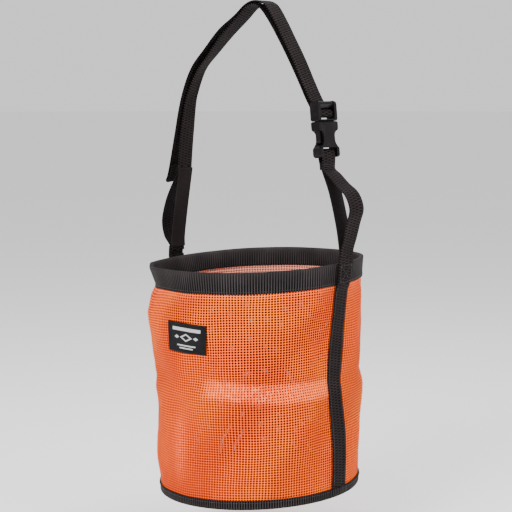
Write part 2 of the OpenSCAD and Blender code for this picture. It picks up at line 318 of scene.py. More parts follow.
def webbing(name, line, along=0.0, twist=None, sway=None, cup=0.0, width=WEB_W, thick=WEB_T,
            shape=None):
    """A length of webbing that follows a line in the XZ plane. twist gives degrees and sway metres
    from the share of the length."""
    s = lengths(line)
    share = s / s[-1]
    side, high = section(width, thick)
    v = np.concatenate([side, side[::-1]])
    n = np.concatenate([high, -high[::-1]])
    n = n + cup * (1 - (2 * v / width) ** 2)
    out = normals(line)
    normal = np.stack([out[:, 0], np.zeros(len(out)), out[:, 1]], 1)
    across = np.tile([0.0, 1.0, 0.0], (len(out), 1))
    angle = np.radians(twist(share))[:, None] if twist else np.zeros((len(out), 1))
    side3 = np.cos(angle) * across + np.sin(angle) * normal
    norm3 = np.cos(angle) * normal - np.sin(angle) * across
    centre = np.stack([line[:, 0], sway(share) if sway else np.zeros(len(line)), line[:, 1]], 1)
    co = centre[:, None] + v[None, :, None] * side3[:, None] + n[None, :, None] * norm3[:, None]
    if shape:
        co = shape(co)
    return grid(name, co, s + along, v)


def turned(profile, start, stop, count, name, shape=shaped, radius=RIM_R):
    """A piece of revolution: profile rows are radius, height and cloth position."""
    whole = abs(stop - start) >= 360
    angles = np.radians(np.linspace(start, stop, count + 1))
    used = angles[:-1] if whole else angles
    r, z, v = profile.T
    co = np.stack([np.outer(np.cos(used), r), np.outer(np.sin(used), r),
                   np.tile(z, (len(used), 1))], -1)
    return grid(name, shape(co), angles * radius, v, close_rows=whole)


def arc(centre, radius, start, stop, count):
    """Points of an arc, from one angle to another in degrees."""
    a = np.radians(np.linspace(start, stop, count))
    return np.array(centre) + radius * np.stack([np.cos(a), np.sin(a)], 1)


def skins(outer, inner, shift=0.0):
    """A closed outline of two skins, with the same cloth position on both, or shifted on the inner."""
    s = lengths(outer)
    return np.vstack([np.column_stack([outer, s]), np.column_stack([inner[::-1], s[::-1] + shift])])


# ---- Materials ----

class Shader:
    """A Principled material whose inputs are built from small node sums."""

    def __init__(self, name, roughness=0.5, **constants):
        self.material = bpy.data.materials.new(name)
        self.material.use_nodes = True
        self.tree = self.material.node_tree
        self.main = self.tree.nodes["Principled BSDF"]
        self.main.inputs["Roughness"].default_value = roughness
        for key, value in constants.items():
            self.main.inputs[key.replace("_", " ")].default_value = value
        split = self.node("ShaderNodeSeparateXYZ")
        uv = self.node("ShaderNodeUVMap")
        uv.uv_map = "cloth"
        self.link(uv.outputs[0], split.inputs[0])
        self.u, self.v = split.outputs[0], split.outputs[1]
        self.place = self.node("ShaderNodeTexCoord").outputs["Object"]

    def node(self, kind):
        return self.tree.nodes.new(kind)

    def link(self, a, b):
        self.tree.links.new(a, b)

    def put(self, socket, value):
        if isinstance(value, (int, float)):
            socket.default_value = value
        elif isinstance(value, tuple):
            socket.default_value = (*value, 1.0)
        else:
            self.link(value, socket)

    def math(self, kind, *values):
        made = self.node("ShaderNodeMath")
        made.operation = kind
        for socket, value in zip(made.inputs, values):
            self.put(socket, value)
        return made.outputs[0]

    def wave(self, value, pitch):
        """A sine with one wave in each pitch."""
        return self.math("SINE", self.math("MULTIPLY", value, 2 * math.pi / pitch))

    def apart(self, a, b):
        """The distance between two values."""
        return self.math("ABSOLUTE", self.math("SUBTRACT", a, b))

    def ramp(self, value, low, high, to_low=0.0, to_high=1.0):
        made = self.node("ShaderNodeMapRange")
        made.interpolation_type = "SMOOTHSTEP"
        for socket, given in zip(made.inputs, (value, low, high, to_low, to_high)):
            self.put(socket, given)
        return made.outputs[0]

    def mix(self, share, a, b):
        """A mix of two colours, which are the node's sockets 6 and 7."""
        made = self.node("ShaderNodeMix")
        made.data_type = "RGBA"
        self.put(made.inputs[0], share)
        self.put(made.inputs[6], a)
        self.put(made.inputs[7], b)
        return made.outputs[2]

    def noise(self, scale, detail=2.0):
        made = self.node("ShaderNodeTexNoise")
        made.inputs["Scale"].default_value = scale
        made.inputs["Detail"].default_value = detail
        self.link(self.place, made.inputs["Vector"])
        return made.outputs[0]

    def noise_along(self, across, along):
        """Noise in the cloth's own plane, with its own scale each way."""
        joined = self.node("ShaderNodeCombineXYZ")
        self.link(self.math("MULTIPLY", self.u, across), joined.inputs[0])
        self.link(self.math("MULTIPLY", self.v, along), joined.inputs[1])
        made = self.node("ShaderNodeTexNoise")
        made.inputs["Scale"].default_value = 1.0
        made.inputs["Detail"].default_value = 2.0
        self.link(joined.outputs[0], made.inputs["Vector"])
        return made.outputs[0]

    def bump(self, height, distance, strength=1.0):
        made = self.node("ShaderNodeBump")
        made.inputs["Distance"].default_value = distance
        made.inputs["Strength"].default_value = strength
        self.link(height, made.inputs["Height"])
        self.link(made.outputs[0], self.main.inputs["Normal"])

    def set(self, name, value):
        self.put(self.main.inputs[name], value)


# painted shade: the grooves between a webbing's ribs are near black
GROOVE_SHADE = (0.0001, 0.0001, 0.0001)        # between the ribs of a webbing


def weave(name, rib, column, light, depth):
    """Webbing: columns of ribs, each column half a rib behind the next."""
    s = Shader(name, 0.66, Specular_IOR_Level=0.05)
    across = s.math("ADD", s.math("DIVIDE", s.v, column), 0.5)
    odd = s.math("FLOORED_MODULO", s.math("FLOOR", across), 2.0)
    turns = s.math("ADD", s.math("DIVIDE", s.u, rib), s.math("MULTIPLY", odd, 0.5))
    groove = s.ramp(s.math("COSINE", s.math("MULTIPLY", turns, 2 * math.pi)), -0.45, 0.1)
    lens = s.math("POWER", s.math("SINE", s.math("MULTIPLY", s.math("FRACT", across), math.pi)), 0.4)
    hole = s.math("MULTIPLY", groove, lens)
    yarn = s.wave(s.v, column / 6)
    worn = s.noise(38.0, 4.0)
    dust = s.noise(9.0, 3.0)
    tone = s.mix(s.ramp(worn, 0.35, 0.75), light, tuple(c * 1.5 for c in light))
    tone = s.mix(s.ramp(dust, 0.5, 0.85, 0.0, 0.5), tone, tuple(c * 0.6 for c in light))
    # the grooves are painted with near-black shade
    s.set("Base Color", s.mix(hole, tone, GROOVE_SHADE))
    height = s.math("SUBTRACT", s.math("MULTIPLY", yarn, 0.1), hole)
    s.bump(height, depth)
    return s.material


CELL_U, CELL_V = 3.4 * MM, 3.0 * MM     # the net's cells
GAP_U, GAP_V = 0.31, 0.31               # half a gap, as a share of its cell
NARROW = 0.34                           # the inner skin's gaps, as a share of the outer's
INNER_SHIFT = 1000 * CELL_V             # marks the inner skin of the net


def mesh_cloth():
    """Coated open mesh: a net of round strands with a gap in each cell, narrower on its inner side.
    The net is a little uneven. Its colour carries painted highlights along the folds, painted shade
    around each gap, in slanting bands and low on the inner side, and painted light on the inner side at
    the rim."""
    s = Shader("orange_mesh", 0.6, Specular_IOR_Level=0.05)
    drift = s.math("SUBTRACT", s.noise(17.0, 1.0), 0.5)
    row = s.math("ADD", s.math("DIVIDE", s.v, CELL_V), s.math("MULTIPLY", drift, 1.6))
    column = s.math("ADD", s.math("DIVIDE", s.u, CELL_U), s.math("MULTIPLY", drift, -1.3))
    x = s.apart(s.math("FRACT", column), 0.5)
    y = s.apart(s.math("FRACT", row), 0.5)
    inner = s.math("GREATER_THAN", s.v, INNER_SHIFT / 2)
    highlight_node = s.node("ShaderNodeAttribute")
    highlight_node.attribute_name = "crease_highlight"
    fold = highlight_node.outputs["Fac"]
    # distance from the outer gap's middle: 1 at its edge and more on the strands
    far = s.math("POWER", s.math("ADD", s.math("POWER", s.math("DIVIDE", x, GAP_U), 3.0),
                                 s.math("POWER", s.math("DIVIDE", y, GAP_V), 3.0)), 0.333)
    # fold here is the painted crease highlight: along it the gaps close and the strands stay bright
    far = s.math("ADD", far, s.math("MULTIPLY", fold, 0.35))
    edge = s.math("SUBTRACT", 1.0, s.math("MULTIPLY", inner, 1 - NARROW))
    solid = s.ramp(s.math("SUBTRACT", far, edge), -0.05, 0.05)
    patch = s.noise(13.0, 3.0)
    # painted shade in soft slanting bands, standing in for the shading of diagonal folds
    aslant = s.math("ADD", s.math("MULTIPLY", s.u, 42.0), s.math("MULTIPLY", s.v, -36.0))
    slant_shade = s.math("SINE", s.math("ADD", aslant, s.math("MULTIPLY", s.noise(6.0, 2.0), 9.0)))
    fine = s.noise(160.0, 2.0)
    tone = s.mix(s.ramp(patch, 0.3, 0.7), (0.95, 0.07, 0.0), (0.97, 0.14, 0.0))
    tone = s.mix(s.ramp(fine, 0.45, 0.8, 0.0, 0.35), tone, (0.97, 0.18, 0.004))
    tone = s.mix(s.ramp(slant_shade, -0.4, 1.0, 0.0, 0.55), tone, (0.7, 0.045, 0.0))
    # painted highlight along the creases, broken into streaks
    streak = s.ramp(s.noise_along(380.0, 170.0), 0.43, 0.64, 0.0, 1.0)
    tone = s.mix(s.math("MULTIPLY", fold, streak), tone, (0.97, 0.18, 0.07))
    # the inner side gets painted shade low down and painted light up at the rim
    inner_shade = s.ramp(s.v, INNER_SHIFT + 0.8 * BAG_H, INNER_SHIFT + 0.88 * BAG_H, 0.45, 0.0)
    tone = s.mix(s.math("MULTIPLY", inner, inner_shade), tone, (0.06, 0.004, 0.0))
    inner_rim_light = s.ramp(s.v, INNER_SHIFT + 0.82 * BAG_H, INNER_SHIFT + 0.88 * BAG_H, 0.0, 0.6)
    tone = s.mix(inner_rim_light, tone, (0.95, 0.45, 0.34))
    # painted shade: the strands darken to near black towards each gap, and so does the pit on the inner
    # skin
    tone = s.mix(s.ramp(far, 0.95, 1.3), (0.006, 0.0002, 0.0), tone)
    s.set("Base Color", tone)
    s.set("Alpha", solid)
    s.bump(s.ramp(far, 0.9, 1.6), 0.5 * MM)
    return s.material


def coated_cloth():
    """The base: closely woven cloth under a coat."""
    s = Shader("base_cloth", 0.6, Specular_IOR_Level=0.08)
    u = s.wave(s.u, 1.3 * MM)
    v = s.wave(s.v, 1.3 * MM)
    knot = s.math("MULTIPLY", u, v)
    patch = s.noise(11.0, 4.0)
    tone = s.mix(s.ramp(patch, 0.3, 0.75), (0.62, 0.045, 0.0), (0.7, 0.065, 0.0))
    s.set("Base Color", s.mix(s.ramp(knot, -0.2, 1.0, 0.0, 0.3), tone, (0.36, 0.016, 0.0)))
    s.bump(knot, 0.15 * MM)
    return s.material


def elastic_cloth():
    """Flat elastic: fine ribs across covered rubber threads."""
    s = Shader("black_elastic", 0.7, Specular_IOR_Level=0.04)
    rib = s.wave(s.u, 1.5 * MM)
    cover = s.wave(s.v, 1.1 * MM)
    tone = s.mix(s.ramp(s.noise(30.0, 3.0), 0.3, 0.75), (0.0095, 0.007, 0.0074), (0.0135, 0.01, 0.0106))
    s.set("Base Color", s.mix(s.ramp(rib, -0.3, 1.0, 0.0, 0.5), tone, (0.024, 0.018, 0.019)))
    s.bump(s.math("ADD", rib, s.math("MULTIPLY", cover, 0.4)), 0.12 * MM)
    return s.material


def label_cloth(width, height):
    """Black damask label with a plain woven pattern of bars and a diamond."""
    s = Shader("woven_label", 0.58, Sheen_Weight=0.01, Specular_IOR_Level=0.08)
    # x is the distance from the label's upright middle line, and y the height from its level one
    x = s.math("ABSOLUTE", s.u)
    y = s.v

    def inside(value, limit, edge=0.12 * MM):
        return s.ramp(value, limit - edge, limit + edge, 1.0, 0.0)

    def bar(centre, half_high, half_long):
        near_it = inside(s.apart(y, centre), half_high)
        return s.math("MULTIPLY", near_it, inside(x, half_long))

    marks = [bar(0.29 * height, 0.055 * height, 0.37 * width),
             bar(-0.25 * height, 0.022 * height, 0.25 * width),
             bar(-0.34 * height, 0.022 * height, 0.18 * width)]
    # a hollow diamond in the middle, with a small one on each side
    level = s.apart(y, 0.02 * height)
    reach = s.math("ADD", s.math("MULTIPLY", x, 0.5), level)
    hollow = s.math("SUBTRACT", 1.0, inside(reach, 0.085 * height))
    marks.append(s.math("MULTIPLY", inside(reach, 0.135 * height), hollow))
    beside_it = s.apart(x, 0.26 * width)
    small = s.math("ADD", s.math("MULTIPLY", beside_it, 0.6), level)
    marks.append(inside(small, 0.06 * height))
    white = marks[0]
    for mark in marks[1:]:
        white = s.math("MAXIMUM", white, mark)
    thread = s.wave(y, 0.45 * MM)
    pick = s.wave(s.u, 0.6 * MM)
    white = s.math("MULTIPLY", white, s.ramp(thread, -0.9, 0.1, 0.35, 1.0))
    ground = s.mix(s.ramp(s.noise(60.0, 3.0), 0.3, 0.7),
                   (0.003, 0.003, 0.004), (0.007, 0.007, 0.009))
    past_edge = s.math("MAXIMUM", s.math("SUBTRACT", x, width / 2),
                       s.math("SUBTRACT", s.math("ABSOLUTE", y), height / 2))
    border = s.ramp(past_edge, -2.6 * MM, -2.2 * MM, 1.0, 0.45)
    ground = s.mix(border, (0.001, 0.001, 0.0015), ground)
    s.set("Base Color", s.mix(white, ground, (0.62, 0.61, 0.6)))
    raised = s.math("ADD", s.math("MULTIPLY", pick, 0.3), white)
    s.bump(s.math("ADD", s.math("MULTIPLY", thread, 0.6), raised), 0.12 * MM)
    return s.material


def thread_cloth():
    """Black sewing thread, a little dusty."""
    s = Shader("sewing_thread", 0.5, Specular_IOR_Level=0.25, Sheen_Weight=0.05)
    tone = s.mix(s.ramp(s.noise(900.0, 2.0), 0.35, 0.7), (0.006, 0.006, 0.007), (0.03, 0.029, 0.031))
    s.set("Base Color", tone)
    s.bump(s.noise(2500.0, 1.0), 0.05 * MM)
    return s.material


def moulded():
    """Satin black plastic with a fine spark texture and rubbed places."""
    s = Shader("buckle_plastic", 0.28, Specular_IOR_Level=0.12)
    fine = s.noise(1400.0, 3.0)
    rub = s.noise(70.0, 5.0)
    s.set("Base Color", s.mix(s.ramp(rub, 0.45, 0.8), (0.0032, 0.0024, 0.0026), (0.0065, 0.0052, 0.0055)))
    s.set("Roughness", s.ramp(rub, 0.3, 0.75, 0.2, 0.38))
    s.bump(fine, 0.06 * MM, 0.5)
    return s.material


webbing_look = weave("black_webbing", 3.3 * MM, WEB_W / 4, (0.0155, 0.0108, 0.0113), 0.4 * MM)
binding_look = weave("black_binding", 3.2 * MM, 60 * MM, (0.0245, 0.0203, 0.021), 0.3 * MM)
mesh_look = mesh_cloth()
base_look = coated_cloth()
elastic_look = elastic_cloth()
thread_look = thread_cloth()
plastic_look = moulded()


def dress(piece, look):
    """Gives a piece its material."""
    piece.data.materials.clear()
    piece.data.materials.append(look)
    return piece


# ---- Bag ----

PANEL_ROWS, PANEL_STEPS = 112, 170
PANEL_GAP = 0.15                         # degrees that each half stops short of the seam
WALL_FOOT_UP, WALL_HEAD_DOWN = 2.8 * MM, 2.6 * MM
ROUND_STEPS = 420                        # of a binding, all the way round


def panel(name, start):
    """Half the wall, from inside the base binding to inside the rim binding."""
    z = np.linspace(BASE_Z + WALL_FOOT_UP, RIM_Z - WALL_HEAD_DOWN, PANEL_ROWS)
    outer = np.stack([wall_r(z), z], 1)
    inner = np.stack([wall_r(z) - MESH_T, z], 1)
    first, last = start + PANEL_GAP, start + 180 - PANEL_GAP
    made = turned(skins(outer, inner, INNER_SHIFT), first, last, PANEL_STEPS, name, radius=WALL_MID_R)
    angles = np.radians(np.linspace(first, last, PANEL_STEPS + 1))
    level = (np.concatenate([z, z[::-1]]) - BASE_Z) / BAG_H
    # the painted crease highlight, stored on each point for the net's material
    layer = made.data.attributes.new("crease_highlight", "FLOAT", "POINT")
    layer.data.foreach_set("value", crease_highlight(angles[:, None], level[None, :]).ravel())
    dress(made, mesh_look)
    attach(made, "bag")
    return made


front_mesh = panel("front_mesh", 180)
rear_mesh = panel("rear_mesh", 0)
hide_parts("front_mesh_panel")
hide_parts("rear_mesh_panel")


def disc(name):
    """The base: a round of cloth that sags a little in the middle."""
    n = 48
    t = np.linspace(-1, 1, n)
    a, b = np.meshgrid(t, t, indexing="ij")
    x = a * np.sqrt(1 - b * b / 2)
    y = b * np.sqrt(1 - a * a / 2)
    radius = BASE_ROUND_R
    rr = x * x + y * y
    z = BASE_Z + WEB_T + 0.3 * MM - 1.2 * MM * (1 - rr) ** 2 * np.cos(2.2 * a + 1.3 * b)
    low = np.stack([x * radius, y * radius, z], -1)
    high = low + [0, 0, MESH_T]
    co = shaped(np.concatenate([low, high[:, ::-1]], 1))
    v = np.concatenate([t, t[::-1]]) * radius
    return grid(name, co, t * radius, v)


base_cloth = dress(disc("base_cloth_round"), base_look)
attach(base_cloth, "bag")
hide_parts("base_panel")


def rim_band():
    """Folded over the wall's top edge."""
    fold = (2 * WEB_T + MESH_T + 0.8 * MM) / 2
    lean = wall_r(RIM_Z) - wall_r(RIM_Z - BAND_H)
    rise = np.linspace(0, 1, 12)[:, None]
    mid_r, mid_z = RIM_R - fold, RIM_Z - fold
    up_out = np.array([RIM_R - lean, RIM_Z - BAND_H]) + rise * [lean, BAND_H - fold]
    down_in = np.array([RIM_R - 2 * fold, mid_z]) - rise * [lean, BAND_H - fold - 2.5 * MM]
    outer = np.vstack([up_out, arc((mid_r, mid_z), fold, 0, 180, 9)[1:-1], down_in])
    inner = beside(outer, WEB_T * 0.94)
    made = turned(skins(outer, inner), 0, 360, ROUND_STEPS, "rim_webbing")
    dress(made, binding_look)
    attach(made, "bag")
    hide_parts("rim_binding")


def base_band():
    """Folded over the seam. It stands out where the side straps are tucked under it."""
    top_z = BASE_Z + BASE_BAND_H
    bend = 2.2 * MM
    down = np.linspace(0, 1, 6)[:, None]
    head = np.array([wall_r(top_z) + WEB_T, top_z])
    side = head + down * (np.array([BASE_R, BASE_Z + bend]) - head)
    foot = np.array([BASE_R - bend, BASE_Z]) + down * [bend - BASE_FOLD_IN, 0]
    outer = np.vstack([side, arc((BASE_R - bend, BASE_Z + bend), bend, 0, -90, 6)[1:-1], foot])
    inner = beside(outer, -WEB_T * 0.94)
    profile = skins(outer, inner)

    def over_straps(co):
        a = np.arctan2(co[..., 1], co[..., 0])
        off = np.minimum(np.abs(turn(a, 0)), np.abs(turn(a, 180)))
        swell = 1.5 * MM * (1 - smooth((off - 5.6) / 2.6)) * smooth((co[..., 2] - BASE_Z) / (4 * MM))
        r = np.hypot(co[..., 0], co[..., 1])
        grown = (r + swell) / r
        return shaped(np.stack([co[..., 0] * grown, co[..., 1] * grown, co[..., 2]], -1))

    made = turned(profile, 0, 360, ROUND_STEPS, "base_webbing", over_straps)
    dress(made, binding_look)
    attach(made, "bag")
    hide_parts("base_binding")


rim_band()
base_band()


def side_line(side):
    """Down the outside of the wall, from above the rim to under the base binding."""
    foot_z = BASE_Z + BASE_BAND_H - 6 * MM
    step_z = RIM_Z - BAND_H - 1 * MM
    lean = wall_r(RIM_Z) - wall_r(step_z)
    tab_x = RIM_R + STRAP_OUT + 0.1 * MM
    z = np.linspace(foot_z, step_z - 7 * MM, 70)
    wall = np.stack([wall_r(z) + STRAP_OUT, z], 1)
    over = np.array([[tab_x - lean, step_z + 0.5 * MM], [tab_x, RIM_Z - 1 * MM],
                     [tab_x, RIM_Z + 1.5 * MM]])
    ease = through(np.vstack([wall[-1:], over]), 8)
    line = np.vstack([wall[:-1], ease])
    return line * [side, 1]


for name, side, node in (("near_side_webbing", 1, "near_side_strap"),
                         ("far_side_webbing", -1, "far_side_strap")):
    made = webbing(name, side_line(side), shape=shaped)
    dress(made, webbing_look)
    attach(made, "bag")
    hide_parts(node)


LABEL_ASKEW = math.radians(-3.4)
LABEL_SHIFT, LABEL_DROP = -3 * MM, 2 * MM
label_mid = (label_low[2] + label_high[2]) / 2


def on_label(angle, r, z):
    """A point on the label, which is sewn on a little askew."""
    along = (angle + math.pi / 2) * RIM_R
    up = z - label_mid
    turned_along = along * math.cos(LABEL_ASKEW) - up * math.sin(LABEL_ASKEW) + LABEL_SHIFT
    turned_up = along * math.sin(LABEL_ASKEW) + up * math.cos(LABEL_ASKEW) - LABEL_DROP
    b = turned_along / RIM_R - math.pi / 2
    r = r + wall_r(label_mid + turned_up) - wall_r(z)
    return np.stack(np.broadcast_arrays(r * np.cos(b), r * np.sin(b), label_mid + turned_up), -1)


def label():
    """The label, and its width and height. It bulges a little in the middle."""
    thick = 0.7 * MM
    low, high = label_low[2], label_high[2]
    radius = wall_r(high)
    wide = 2 * math.degrees(math.asin(label_high[0] / radius))
    z = np.linspace(low, high, 26)
    bulge = 0.5 * MM * np.sin(np.linspace(0, np.pi, 26))
    outer = np.stack([wall_r(z) + 0.15 * MM + thick + bulge, z], 1)
    inner = np.stack([wall_r(z) + 0.15 * MM + bulge * 0.8, z], 1)
    v = np.concatenate([z, z[::-1]]) - (low + high) / 2
    profile = np.column_stack([np.vstack([outer, inner[::-1]]), v])
    angles = np.radians(np.linspace(-90 - wide / 2, -90 + wide / 2, 46))
    co = on_label(angles[:, None], profile[None, :, 0], profile[None, :, 1])
    width = math.radians(wide) * radius
    made = grid("label", shaped(co), (angles + math.pi / 2) * radius, v)
    dress(made, label_cloth(width, high - low))
    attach(made, "bag")
    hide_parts("woven_label")
    return made, (width, high - low)


label_piece, label_size = label()


# ---- Head strap ----

def far_twist(share):
    """The far leg turns a little about its own line on its way up."""
    return 15 * bump(share, 0.47, 0.2)


def far_sway(share):
    """It also wanders a little to the side."""
    return 0.8 * MM * np.sin(math.pi * share) * np.sin(5 * share + 0.3)


crown = webbing("crown_webbing", load_line[:CROWN_KNOT * N + 3], twist=far_twist, sway=far_sway,
                cup=0.15 * MM)
dress(crown, webbing_look)
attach(crown, "head_strap")
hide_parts("crown_strap")

# the turn through the ladder lock, between the two layers of the near leg
wrap = [on_buckle(n, w) for n, w in (
    (-8.3, 56), (-5.6, 51.6), (-3.6, 48.2), (-0.9, 46.6), (1.9, 47.1), (3.1, 49.4), (3, 52.2),
    (1.4, 54.4), (-1.6, 56.4), (-5, 59.5))]
near_down = load_line[CROWN_KNOT * N:]
near_up = tail_line[(CROWN_KNOT + 1) * N:][::-1]
near_route = np.vstack([near_down[:-1], through(wrap, 6), near_up[1:]])
near = webbing("near_webbing", near_route, along=lengths(load_line)[CROWN_KNOT * N])
dress(near, webbing_look)
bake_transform(near)
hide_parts("near_run", "ladder_wrap", "near_tail_run")

# the second layer over the crown, the loose tail, and its folded end
tail_down = tail_line[:(CROWN_KNOT + 1) * N + 3][::-1]
back = beside(tail_line, -(WEB_T + 0.25 * MM))
hem_end = int(np.searchsorted(lengths(tail_line), HEM))
middle = (tail_down[-1] + back[0]) / 2
first = tail_down[-1] - middle
turn_line = [middle + np.array([first[0] * math.cos(b) - first[1] * math.sin(b),
                                first[0] * math.sin(b) + first[1] * math.cos(b)])
             for b in np.linspace(0, math.pi, 9)[1:-1]]
tail_route = np.vstack([tail_down, turn_line, back[:hem_end]])


def tail_twist(share):
    return 10 * bump(share, 0.56, 0.18) + 5 * smooth((share - 0.7) / 0.3)


def tail_sway(share):
    wander = 1.2 * MM * np.sin(math.pi * share) * np.sin(4 * share + 1.1)
    return wander + 1.5 * MM * smooth((share - 0.6) / 0.4)


tail = webbing("tail_webbing", tail_route, along=0.4, twist=tail_twist, sway=tail_sway)
dress(tail, webbing_look)
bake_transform(tail)
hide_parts("crown_tail", "strap_tail", "tail_hem")

# the near slack webbing goes on upwards as the loop around the female half's bar
LOOP_OUT, LOOP_UP = 2.9, 5.5             # half its width and its height, in millimetres
loop_over = [on_buckle(LOOP_OUT * math.cos(b), 4 + LOOP_UP * math.sin(b))
             for b in np.radians(np.arange(0, 181, 15))]
near_slack_route = np.vstack([
    through([(STUB_X, RIM_Z + 12 * MM), (STUB_X + 0.9 * MM, RIM_Z + 21 * MM), at(1.062, 0.112),
             at(1.1, 0.172), at(1.132, 0.225), at(1.08, 0.278), at(0.97, 0.315), at(0.885, 0.348),
             on_buckle(1.75, -14), on_buckle(1.7, -8), on_buckle(2.7, -1.5)], 9)[:-1],
    loop_over,
    through([on_buckle(-2.7, -1.5), on_buckle(-1.7, -8), on_buckle(-1.75, -14)], 5)])
near_slack = webbing("near_slack_and_loop", near_slack_route, along=0.9,
                     sway=lambda share: -0.9 * MM * bump(share, 0.4, 0.2),
                     twist=lambda share: -6 * bump(share, 0.42, 0.2))
dress(near_slack, webbing_look)
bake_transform(near_slack)
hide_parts("near_slack_webbing", "female_loop")

ELASTIC = {"thick": WEB_T * 0.9, "width": WEB_W * 0.985}
IN_X = STUB_X - WEB_T - LAYER_GAP        # the elastic stands inside the strap's foot
near_elastic_route = through([(IN_X, RIM_Z + 7 * MM), (IN_X - 0.2 * MM, RIM_Z + 20 * MM),
                              (IN_X * 0.962, RIM_Z + 48 * MM), (IN_X * 0.885, RIM_Z + 85 * MM),
                              on_buckle(0, -13), on_buckle(0, -5.5)], 10)
near_elastic = webbing("near_elastic_band", near_elastic_route, **ELASTIC)
dress(near_elastic, elastic_look)
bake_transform(near_elastic)
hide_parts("near_elastic")

far_slack_route = through([(-STUB_X, RIM_Z + 2 * MM), (-STUB_X - 1.6 * MM, RIM_Z + 9 * MM),
                           at(-1.11, 0.07), at(-1.14, 0.135), at(-1.095, 0.21), at(-1.015, 0.275),
                           load_line[0], load_line[3]], 9)
far_slack = webbing("far_slack", far_slack_route, along=1.4,
                    twist=lambda share: 4 * bump(share, 0.5, 0.2))
dress(far_slack, webbing_look)
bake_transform(far_slack)
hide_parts("far_slack_webbing")

under = beside(load_line, -(WEB_T + 0.15 * MM))
far_elastic_route = through([(-IN_X, RIM_Z + 7 * MM), (-IN_X, RIM_Z + 21 * MM), at(-0.965, 0.2),
                             under[0], under[2]], 10)
far_elastic = webbing("far_elastic_band", far_elastic_route, **ELASTIC)
dress(far_elastic, elastic_look)
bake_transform(far_elastic)
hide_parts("far_elastic")


def foot(name, side, nodes):
    """The strap's end on the rim: sewn to the band below, and free above it."""
    z = np.linspace(RIM_Z - BAND_H + 0.6 * MM, RIM_Z + 13 * MM, 30)
    lean = (wall_r(RIM_Z) - wall_r(RIM_Z - BAND_H)) * np.clip((RIM_Z - z) / BAND_H, 0, 1)
    line = np.stack([side * (STUB_X - lean - 0.25 * MM), z], 1)
    made = webbing(name, line, along=2.0, shape=shaped)
    dress(made, webbing_look)
    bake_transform(made)
    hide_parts(*nodes)


foot("near_foot_webbing", 1, ["near_lap", "near_stub"])
foot("far_foot_webbing", -1, ["far_lap", "far_stub"])


# ---- Sewing threads ----

def stitches(name, runs, body, pitch=3.6 * MM, thick=0.5 * MM):
    """Short raised stitches along lines. A run is points, outward directions and whether to shape it."""
    verts, faces = [], []
    for points, outward, shape in runs:
        points, outward = np.array(points, float), np.array(outward, float)
        s = lengths(points)
        count = max(int(s[-1] / pitch), 1)
        stops = (np.arange(count)[:, None] + np.array([0.08, 0.2, 0.5, 0.8, 0.92])) * s[-1] / count
        co = np.stack([np.interp(stops, s, points[:, k]) for k in range(3)], -1)
        up = np.stack([np.interp(stops, s, outward[:, k]) for k in range(3)], -1)
        up /= np.linalg.norm(up, axis=-1, keepdims=True)
        ahead = co[:, -1:] - co[:, :1]
        ahead = np.repeat(ahead / np.linalg.norm(ahead, axis=-1, keepdims=True), 5, axis=1)
        side = np.cross(up, ahead)
        rise = np.array([-0.35, 0.25, 0.5, 0.25, -0.35])[None, :, None] * thick
        wide = np.array([0.55, 1, 1, 1, 0.55])[None, :, None] * thick / 2
        ring = [(co + up * rise + side * wide * math.cos(b) + up * wide * math.sin(b))
                for b in np.radians([0, 60, 120, 180, 240, 300])]
        ring = np.stack(ring, 2)
        if shape:
            ring = shaped(ring)
        for one in ring.reshape(count, 30, 3):
            start = len(verts)
            verts.extend(one.tolist())
            for i in range(4):
                for j in range(6):
                    k = (j + 1) % 6
                    faces.append([start + i * 6 + j, start + i * 6 + k,
                                  start + (i + 1) * 6 + k, start + (i + 1) * 6 + j])
            faces.append([start + j for j in (5, 4, 3, 2, 1, 0)])
            faces.append([start + 24 + j for j in range(6)])
    made = mesh_object(name, verts, faces)
    dress(made, thread_look)
    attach(made, body)


def hoop(radius, z, start=0, stop=360, out=1):
    """A level run around the bag, on the outside of a layer or, with out -1, on the inside."""
    a = np.radians(np.linspace(start, stop, 241))
    points = np.stack([radius * np.cos(a), radius * np.sin(a), np.full(len(a), z)], 1)
    return points, np.stack([out * np.cos(a), out * np.sin(a), 0 * a], 1), True


def on_line(line, v, lift_by, first=0, last=None):
    """A run along a webbing, v to the side of its middle and lift_by above its centre line."""
    last = len(line) - 1 if last is None else last
    part = line[first:last + 1]
    n = normals(line)[first:last + 1]
    side = np.sign(lift_by)
    points = part + n * lift_by
    out = np.stack([n[:, 0] * side, 0 * n[:, 0], n[:, 1] * side], 1)
    return np.stack([points[:, 0], np.full(len(points), v), points[:, 1]], 1), out


def box_tack(x, low, high, half, out):
    """A box with a cross, sewn through a webbing that faces along X."""
    corner = [(-half, low), (half, low), (half, high), (-half, high)]
    ways = [(0, 1), (1, 2), (2, 3), (3, 0), (0, 2), (1, 3)]
    runs = []
    for a, b in ways:
        t = np.linspace(0, 1, 12)[:, None]
        p = np.array(corner[a]) * (1 - t) + np.array(corner[b]) * t
        runs.append((np.column_stack([np.full(12, x), p]), np.tile([out, 0.0, 0.0], (12, 1)), True))
    return runs


